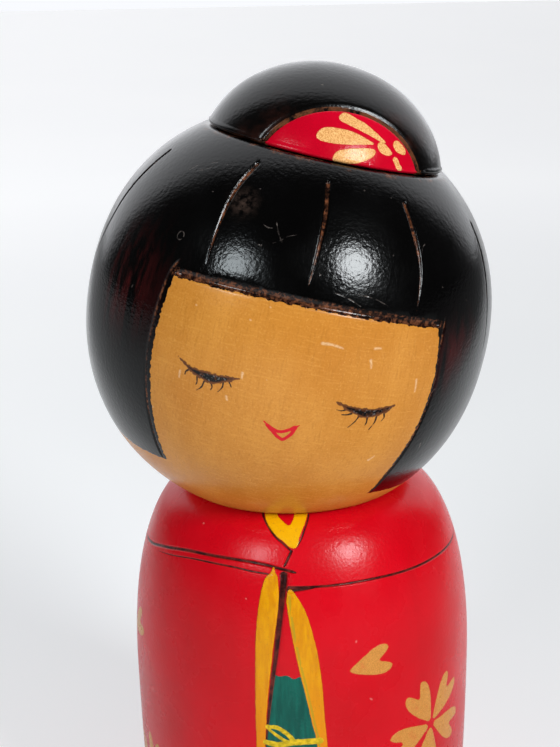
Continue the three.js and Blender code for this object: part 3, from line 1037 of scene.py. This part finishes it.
def scuffs(finish, scale, threshold):
    """Sparse short scratches and nicks: stretched cells, kept only where they are deepest."""
    long_way = finish.place((1.0, 1.0, 0.22), turned=(0.5, 0.2, 0.3))
    other_way = finish.place((0.22, 0.8, 1.0), turned=(0.1, 0.7, 1.1))
    marks = [finish.ramp(finish.cells(way, scale), threshold, threshold * 0.55)
             for way in (long_way, other_way)]
    return finish.either(*marks)


# %% [markdown]
# ## Varnished wood and black hair
# The face is the wood itself under a warm varnish: honey coloured, with faint grain along the
# head's axis and fine pores. The hair is black lacquer over the same wood. It has worn
# through to a red-brown on the sides, and the carved lines show brown wood in the cut.
# One material holds both, divided by the measure that was kept on the head.

# %% Head finish
head_finish = Finish("head_lacquer_and_wood")
h = head_finish
upright = h.place(turned=HEAD_TURN, origin=HEAD_ORIGIN)
grain_way = h.place((1, 1, 0.1), turned=HEAD_TURN, origin=HEAD_ORIGIN)
ring_way = h.place((0.12, 0.12, 1), turned=HEAD_TURN, origin=HEAD_ORIGIN)
wobble = h.noise(upright, 1100, detail=2)
grain = h.noise(grain_way, 160, detail=4, roughness=0.6)
fibres = h.noise(grain_way, 1900, detail=2, roughness=0.6)
rings = h.noise(ring_way, 1900, detail=2, roughness=0.6)
clouds = h.noise(upright, 38, detail=3)
speckle = h.noise(upright, 2300, detail=2, roughness=0.6)

wood_color = h.mix(h.ramp(grain, 0.3, 0.72), (0.56, 0.215, 0.029), (0.625, 0.255, 0.040))
wood_color = h.mix(h.ramp(clouds, 0.35, 0.7, 0.0, 0.6), wood_color, (0.50, 0.17, 0.016))
wood_color = h.mix(h.ramp(fibres, 0.5, 0.75, 0.0, 0.28), wood_color, (0.36, 0.12, 0.012))
wood_color = h.mix(h.ramp(rings, 0.5, 0.75, 0.0, 0.24), wood_color, (0.76, 0.36, 0.07))
wood_color = h.mix(h.ramp(speckle, 0.55, 0.75, 0.0, 0.3), wood_color, (0.76, 0.38, 0.09))
wood_color = h.mix(h.ramp(speckle, 0.46, 0.30, 0.0, 0.35), wood_color, (0.44, 0.15, 0.014))
lash_mask = edge(h, h.measure("lash"), wobble, 0.06, 0.06)
eye_field = h.measure("eye")
ragged = h.cloud(upright, 1000, 0.35, 0.65, -0.1, 0.95, detail=2)
eye_mask = edge(h, eye_field, ragged, 0.12, 0.1)
# The grey flecks in the eyes are painted glints: painted highlights on the black paint.
eye_color = h.mix(h.cloud(upright, 1700, 0.56, 0.66, detail=1), (0.003, 0.002, 0.0015),
                  (0.10, 0.09, 0.085))
eye_color = h.mix(h.cloud(upright, 700, 0.5, 0.62, 0, 0.75, detail=3), eye_color,
                  (0.075, 0.022, 0.008))
eye_color = h.mix(h.ramp(eye_field, 0.6, 0.12, 0, 0.92), eye_color, (0.15, 0.046, 0.012))
lip_mask = edge(h, h.measure("lip"), wobble, 0.06)
painted = h.mix(lash_mask, wood_color, (0.035, 0.018, 0.010))
painted = h.mix(eye_mask, painted, eye_color)
painted = h.mix(lip_mask, painted, (0.60, 0.004, 0.012))
nick_mask = h.either(h.times(edge(h, h.measure("nick"), wobble, 0.22),
                             h.ramp(speckle, 0.3, 0.6, 0.5, 1.0)),
                     h.times(scuffs(h, 150, 0.04), 0.5))
painted = h.mix(h.times(nick_mask, 0.62), painted, (0.84, 0.60, 0.36))

patchy = h.cloud(grain_way, 260, 0.42, 0.58, detail=5, roughness=0.7)
worn = h.times(h.measure("worn"), patchy)
black = h.mix(worn, (0.0007, 0.0006, 0.0006), (0.046, 0.005, 0.005))
smeared = h.cloud(upright, 650, 0.35, 0.65, detail=4)
smudge = h.times(h.measure("smudge"), smeared)
black = h.mix(h.times(smudge, 0.7), black, (0.085, 0.052, 0.040))
scratch_mask = h.times(edge(h, h.measure("scratch"), wobble, 0.09),
                       h.cloud(upright, 800, 0.35, 0.6, detail=2))
scratch_mask = h.either(scratch_mask, h.times(scuffs(h, 210, 0.045), 0.5))
black = h.mix(h.times(scratch_mask, 0.7), black, (0.16, 0.13, 0.115))
cut = h.measure("cut")
bare = h.mix(h.cloud(upright, 1100, 0.4, 0.62, detail=3), (0.018, 0.006, 0.004),
             (0.20, 0.065, 0.027))
bare_share = h.times(h.ramp(cut, 0.2, 0.55),
                     h.cloud(upright, 350, 0.36, 0.6, 0.1, 0.9, detail=3))
fringe_worn = h.times(h.ramp(h.measure("fringe"), -0.4, 0.2),
                      h.cloud(upright, 1300, 0.46, 0.58, 0, 0.75, detail=4, roughness=0.7))
seat_worn = h.times(h.ramp(h.measure("seat"), -1.0, -0.2),
                    h.cloud(upright, 300, 0.52, 0.64, 0, 0.6, detail=4))
bare_share = h.either(bare_share, h.either(fringe_worn, seat_worn))
black = h.mix(bare_share, black, bare)
unsteady = h.cloud(upright, 750, 0.35, 0.65, -0.1, 1.1, detail=2)
wood_mask = edge(h, h.measure("wood"), unsteady, 0.05)
head_color = h.mix(wood_mask, black, painted)
raised = h.math("ADD", h.times(eye_mask, 0.5), h.times(lip_mask, 0.4))
raised = h.math("SUBTRACT", raised, h.times(wood_mask, 0.35))
relief = h.bump(raised, 0.08 * MM)
peel = h.bump(h.noise(upright, 1150, detail=2, roughness=0.6), 0.075 * MM, 0.8, relief)
scratched = h.bump(h.math("SUBTRACT", 1.0, scratch_mask), 0.03 * MM, 0.5, peel)
rough = h.cloud(upright, 90, 0.3, 0.75, 0.13, 0.22, detail=4)
rough = h.either(rough, h.times(wood_mask, 0.26))
head_finish.finish(head_color, rough, scratched, specular=0.27)

# %% [markdown]
# ## The bun
# The same black lacquer, a little more worn along the seam, where bare wood shows as a thin
# brown line.

# %% Bun finish
bun_finish = Finish("bun_black_lacquer")
b = bun_finish
upright = b.place(turned=HEAD_TURN, origin=HEAD_ORIGIN)
worn = b.cloud(upright, 45, 0.5, 0.72, 0, 0.6, detail=5, roughness=0.65)
black = b.mix(worn, (0.0014, 0.0011, 0.001), (0.038, 0.009, 0.005))
black = b.mix(b.times(scuffs(b, 170, 0.05), 0.3), black, (0.25, 0.21, 0.18))
rim = b.either(b.ramp(b.measure("seam"), 0.2, 0.08),
               b.ramp(b.measure("base"), 0.7, 0.1, 0, 0.5))
rim = b.times(rim, b.cloud(upright, 350, 0.38, 0.58, detail=4, roughness=0.65))
black = b.mix(rim, black, (0.13, 0.042, 0.016))
peel = b.bump(b.noise(upright, 1150, detail=2, roughness=0.6), 0.075 * MM, 0.8)
rough = b.cloud(upright, 90, 0.3, 0.75, 0.15, 0.26, detail=4)
bun_finish.finish(black, rough, peel, specular=0.25)

# %% [markdown]
# ## Red hair cloth
# Bright red lacquer with a flower in gold bronze paint, which is grainy and has a little body.

# %% Cloth finish


def gold_paint(finish, vector, dark, light):
    """Bronze powder in varnish: an orange gold that varies between light and dark grains."""
    grains = finish.noise(vector, 3200, detail=3, roughness=0.7)
    return finish.mix(finish.ramp(grains, 0.36, 0.64), dark, light)


cloth_finish = Finish("hair_cloth_lacquer")
c = cloth_finish
upright = c.place(turned=HEAD_TURN, origin=HEAD_ORIGIN)
wobble = c.noise(upright, 900, detail=2)
cloudy = c.cloud(upright, 60, 0.3, 0.7, detail=3)
red = c.mix(cloudy, (0.50, 0.001, 0.013), (0.60, 0.001, 0.019))
gold_mask = edge(c, c.measure("gold"), wobble, 0.06)
color = c.mix(gold_mask, red, gold_paint(c, upright, (0.62, 0.25, 0.07), (0.92, 0.52, 0.20)))
rim = c.times(c.ramp(c.measure("seam"), 0.3, 0.1),
              c.cloud(upright, 400, 0.4, 0.6, detail=3))
color = c.mix(rim, color, (0.24, 0.075, 0.02))
relief = c.bump(gold_mask, 0.07 * MM)
peel = c.bump(c.noise(upright, 1500, detail=2, roughness=0.6), 0.06 * MM, 0.8, relief)
rough = c.cloud(upright, 120, 0.3, 0.7, 0.16, 0.24, detail=3)
cloth_finish.finish(color, rough, peel, specular=0.17)

# %% [markdown]
# ## Red kimono
# Crimson lacquer, darker in the carved seams, with the yellow, green and gold brushed over
# it. Brush paint is never even, so each colour is streaked along its stroke, and the gold
# lets some red through.

# %% Body finish
kimono_finish = Finish("kimono_lacquer")
k = kimono_finish
flat = k.place()
down = k.place((1, 1, 0.1))
wobble = k.noise(flat, 700, detail=2)
streaks = k.noise(down, 900, detail=4, roughness=0.6)
red = k.mix(k.cloud(flat, 30, 0.3, 0.7, detail=3), (0.55, 0.001, 0.006), (0.64, 0.001, 0.009))
long_streaks = k.cloud(down, 160, 0.45, 0.75, 0, 0.25, detail=5, roughness=0.6)
red = k.mix(long_streaks, red, (0.50, 0.001, 0.006))
red = k.mix(k.times(scuffs(k, 150, 0.045), 0.3), red, (0.85, 0.42, 0.36))
cut = k.measure("cut")
seam_brown = k.mix(k.cloud(flat, 500, 0.35, 0.65, detail=3), (0.022, 0.003, 0.003),
                   (0.13, 0.016, 0.010))
color = k.mix(k.ramp(cut, 0.1, 0.6), red, seam_brown)
green_mask = edge(k, k.measure("green"), wobble, 0.07)
green = k.mix(k.ramp(streaks, 0.35, 0.7), (0.001, 0.070, 0.052), (0.003, 0.120, 0.085))
color = k.mix(k.times(green_mask, k.ramp(cut, 0.5, 0.2)), color, green)
yellow_mask = edge(k, k.measure("yellow"), wobble, 0.07)
height = k.node("ShaderNodeSeparateXYZ")
k.link(k.object_place, height.inputs[0])
orange = k.ramp(height.outputs["Z"], BODY_TOP - 30 * MM, BODY_TOP - 60 * MM, 0, 0.8)
yellow = k.mix(k.ramp(streaks, 0.3, 0.7), (0.64, 0.225, 0.001), (0.75, 0.32, 0.001))
yellow = k.mix(orange, yellow, (0.76, 0.215, 0.001))
# The yellow is lighter near the top of the body, round the collar.
lighter_near_top = k.ramp(height.outputs["Z"], BODY_TOP - 9 * MM, BODY_TOP - 5 * MM, 0, 0.7)
yellow = k.mix(lighter_near_top, yellow, (0.90, 0.46, 0.001))
yellow = k.mix(k.cloud(flat, 1600, 0.6, 0.75, 0, 0.5, detail=2), yellow, (0.45, 0.18, 0.02))
color = k.mix(yellow_mask, color, yellow)
line_mask = edge(k, k.measure("band_line"), wobble, 0.1)
color = k.mix(k.times(line_mask, 0.75), color, (0.42, 0.28, 0.012))
cord_mask = edge(k, k.measure("cord"), wobble, 0.08)
cord_color = k.mix(k.cloud(flat, 900, 0.35, 0.65, detail=2), (0.48, 0.32, 0.004),
                   (0.78, 0.50, 0.015))
color = k.mix(cord_mask, color, cord_color)
gold_mask = edge(k, k.measure("gold"), wobble, 0.08)
thin = k.cloud(flat, 260, 0.28, 0.46, 0.7, 1.0, detail=4, roughness=0.65)
color = k.mix(k.times(gold_mask, thin), color,
              gold_paint(k, flat, (0.52, 0.20, 0.034), (0.68, 0.29, 0.062)))
raised = k.either(k.either(yellow_mask, cord_mask), k.times(green_mask, 0.6))
raised = k.either(raised, k.times(gold_mask, 0.5))
relief = k.bump(raised, 0.11 * MM)
brushed = k.bump(k.times(streaks, raised), 0.06 * MM, 0.6, relief)
peel = k.bump(k.noise(flat, 1150, detail=2, roughness=0.6), 0.075 * MM, 0.8, brushed)
rough = k.cloud(flat, 80, 0.3, 0.75, 0.24, 0.34, detail=4)
kimono_finish.finish(color, rough, peel, specular=0.2)

# %% [markdown]
# ## Bare pegs
# The two pegs are plain dowels, hidden in their holes. They keep their frame shapes and get a
# straight grained wood.

# %% Peg finish
peg_finish = Finish("plain_peg_wood")
p = peg_finish
long_way = p.place((1, 1, 0.08))
fibres = p.noise(long_way, 400, detail=6, roughness=0.6)
color = p.mix(p.ramp(fibres, 0.35, 0.7), (0.50, 0.30, 0.13), (0.70, 0.49, 0.26))
peg_finish.finish(color, p.ramp(fibres, 0.3, 0.7, 0.5, 0.7), p.bump(fibres, 0.05 * MM, 0.5))

# %% Put the finishes on and say what each piece stands for
for piece, finish in ((kimono, kimono_finish), (head, head_finish), (bun, bun_finish),
                      (cloth, cloth_finish)):
    piece.data.materials.clear()
    piece.data.materials.append(finish.material)
for node in ("neck_peg", "bun_peg"):
    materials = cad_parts[node].data.materials
    for number in range(len(materials)):
        materials[number] = peg_finish.material
print("finishes:", ", ".join(sorted(material.name for material in bpy.data.materials
                                    if material.users)))

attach(kimono, "body")
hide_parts("body")
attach(head, "head")
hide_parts("head")
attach(bun, "head")
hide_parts("hair_bun")
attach(cloth, "head")
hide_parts("hair_cloth")

# %% [markdown]
# ## Floor, light and camera
# The doll stands on a wide pale floor. Two soft lamps stand in front of it, left and right,
# and behind it the room is bright, which gives the lacquer its pale edges. In front the room
# is dim, so the black stays black. Seen directly, floor and room are pale on every side.

# %% Floor
FLOOR_SIZE = 60

deselect_all()
bpy.ops.mesh.primitive_plane_add(size=FLOOR_SIZE)
floor = bpy.context.object
floor.name = "floor"
floor_finish = Finish("floor_paper")
f = floor_finish
away = f.node("ShaderNodeSeparateXYZ")
f.link(f.object_place, away.inputs[0])
reach = f.node("ShaderNodeVectorMath", operation="LENGTH")
f.link(f.object_place, reach.inputs[0])
# The glow grows with the distance, leans to the left, and fills in where no lamp reaches.
glow = f.ramp(reach.outputs["Value"], 0.0, 1.5, 0.21, 0.50)
sideways = f.math("DIVIDE", away.outputs["X"], f.math("ADD", reach.outputs["Value"], 0.25))
glow = f.math("ADD", glow, f.ramp(sideways, -0.4, 0.3, 0.045, -0.07))
glow = f.math("ADD", glow, f.ramp(away.outputs["Y"], -0.5, -1.6, 0, 0.18))
# Only a wedge behind the doll lights it. The camera sees the glow everywhere.
aside = f.math("MULTIPLY_ADD", away.outputs["Y"], -0.42)
f.link(f.math("ABSOLUTE", away.outputs["X"]), aside.node.inputs[2])
behind = f.times(f.ramp(aside, 0.15, 0.40, 1, 0), f.ramp(away.outputs["Y"], -0.1, 0.2, 0, 1))
path = f.node("ShaderNodeLightPath").outputs
glow = f.times(glow, f.either(behind, path["Is Camera Ray"]))
f.put(f.shader.inputs["Emission Color"], (0.975, 0.98, 1.0))
f.put(f.shader.inputs["Emission Strength"], glow)
# To the right the floor is dark where the lacquer mirrors it, as beside a black screen.
soft = f.noise(f.place(), 2, detail=2)
floor_color = f.mix(f.ramp(soft, 0.3, 0.7), (0.76, 0.76, 0.76), (0.79, 0.79, 0.78))
dim = f.times(f.math("SUBTRACT", 0.8, behind, clamp=True), path["Is Glossy Ray"])
dim = f.times(dim, f.ramp(away.outputs["X"], 0.0, 0.15))
floor_color = f.mix(dim, floor_color, (0.05, 0.05, 0.05))
floor_finish.finish(floor_color, 0.9, f.bump(f.noise(f.place(), 300), 0.05 * MM, 0.2), specular=0.1)
floor.data.materials.append(floor_finish.material)

# %% Camera
LENS = 59.2
CAMERA_AZIMUTH = 6
CAMERA_DISTANCE = 300 * MM
CAMERA_ABOVE_HEAD = 76.3 * MM
CAMERA_SHIFT = -4.4 * MM
CAMERA_PITCH = 17.12
CAMERA_ROLL = 1.25

camera_data = bpy.data.cameras.new("camera")
camera_data.lens = LENS
camera_data.clip_start = 0.01
camera = bpy.data.objects.new("camera", camera_data)
bpy.context.scene.collection.objects.link(camera)
camera.matrix_world = (
    Matrix.Rotation(math.radians(CAMERA_AZIMUTH), 4, "Z")
    @ Matrix.Translation((CAMERA_SHIFT, -CAMERA_DISTANCE, HEAD_CENTRE_HEIGHT + CAMERA_ABOVE_HEAD))
    @ Matrix.Rotation(math.radians(90 - CAMERA_PITCH), 4, "X")
    @ Matrix.Rotation(math.radians(-CAMERA_ROLL), 4, "Z"))
bpy.context.scene.camera = camera
print(f"camera {CAMERA_DISTANCE / MM:.0f} mm in front of the doll, looking down {CAMERA_PITCH} degrees")

# %% Lamps and room


def lamp(name, azimuth, elevation, distance, size, power, color):
    """A round soft lamp at an angle from the front and above, turned to the doll."""
    data = bpy.data.lights.new(name, "AREA")
    data.shape = "DISK"
    data.size = size
    data.energy = power
    data.color = color
    made = bpy.data.objects.new(name, data)
    bpy.context.scene.collection.objects.link(made)
    middle = Vector((0, 0, HEAD_CENTRE_HEIGHT - 20 * MM))
    rise = math.radians(elevation)
    way = compass(math.cos(rise), azimuth, math.sin(rise))
    made.location = middle + way * distance
    made.rotation_mode = "QUATERNION"
    made.rotation_quaternion = way.to_track_quat("Z", "Y")
    print(f"{name}: {power} W")


lamp("lamp_left", azimuth=-28, elevation=31, distance=1.1, size=0.32, power=4.4,
     color=(0.87, 0.96, 1.0))
lamp("lamp_right", azimuth=45, elevation=30, distance=1.1, size=0.34, power=9.8,
     color=(0.93, 0.98, 1.0))

ROOM_BEHIND = 1.45
ROOM_IN_FRONT = 0.04
ROOM_SEEN = 1.0
world = bpy.data.worlds.new("room")
bpy.context.scene.world = world
world.use_nodes = True
nodes = world.node_tree.nodes
links = world.node_tree.links
background = nodes["Background"]
way = nodes.new("ShaderNodeTexCoord")
parts = nodes.new("ShaderNodeSeparateXYZ")
links.new(way.outputs["Generated"], parts.inputs[0])
rise = nodes.new("ShaderNodeMath")
rise.operation = "MULTIPLY_ADD"
links.new(parts.outputs["Z"], rise.inputs[0])
rise.inputs[1].default_value = 0.55
links.new(parts.outputs["Y"], rise.inputs[2])
leftward = nodes.new("ShaderNodeMath")
leftward.operation = "MULTIPLY_ADD"
links.new(parts.outputs["X"], leftward.inputs[0])
leftward.inputs[1].default_value = -0.06
links.new(rise.outputs[0], leftward.inputs[2])
bright = nodes.new("ShaderNodeMapRange")
bright.interpolation_type = "SMOOTHSTEP"
bright.inputs["From Min"].default_value = 0.62
bright.inputs["From Max"].default_value = 0.80
bright.inputs["To Min"].default_value = ROOM_IN_FRONT
bright.inputs["To Max"].default_value = ROOM_BEHIND
links.new(leftward.outputs[0], bright.inputs["Value"])
background.inputs["Color"].default_value = (0.95, 0.965, 1.0, 1)
seen = nodes.new("ShaderNodeLightPath")
pale = nodes.new("ShaderNodeMix")
pale.inputs["B"].default_value = ROOM_SEEN
links.new(seen.outputs["Is Camera Ray"], pale.inputs["Factor"])
links.new(bright.outputs[0], pale.inputs["A"])
links.new(pale.outputs["Result"], background.inputs["Strength"])
bpy.context.scene.view_settings.view_transform = "Standard"
print(f"room: {ROOM_BEHIND} behind, {ROOM_IN_FRONT} in front, {ROOM_SEEN} where it is seen")
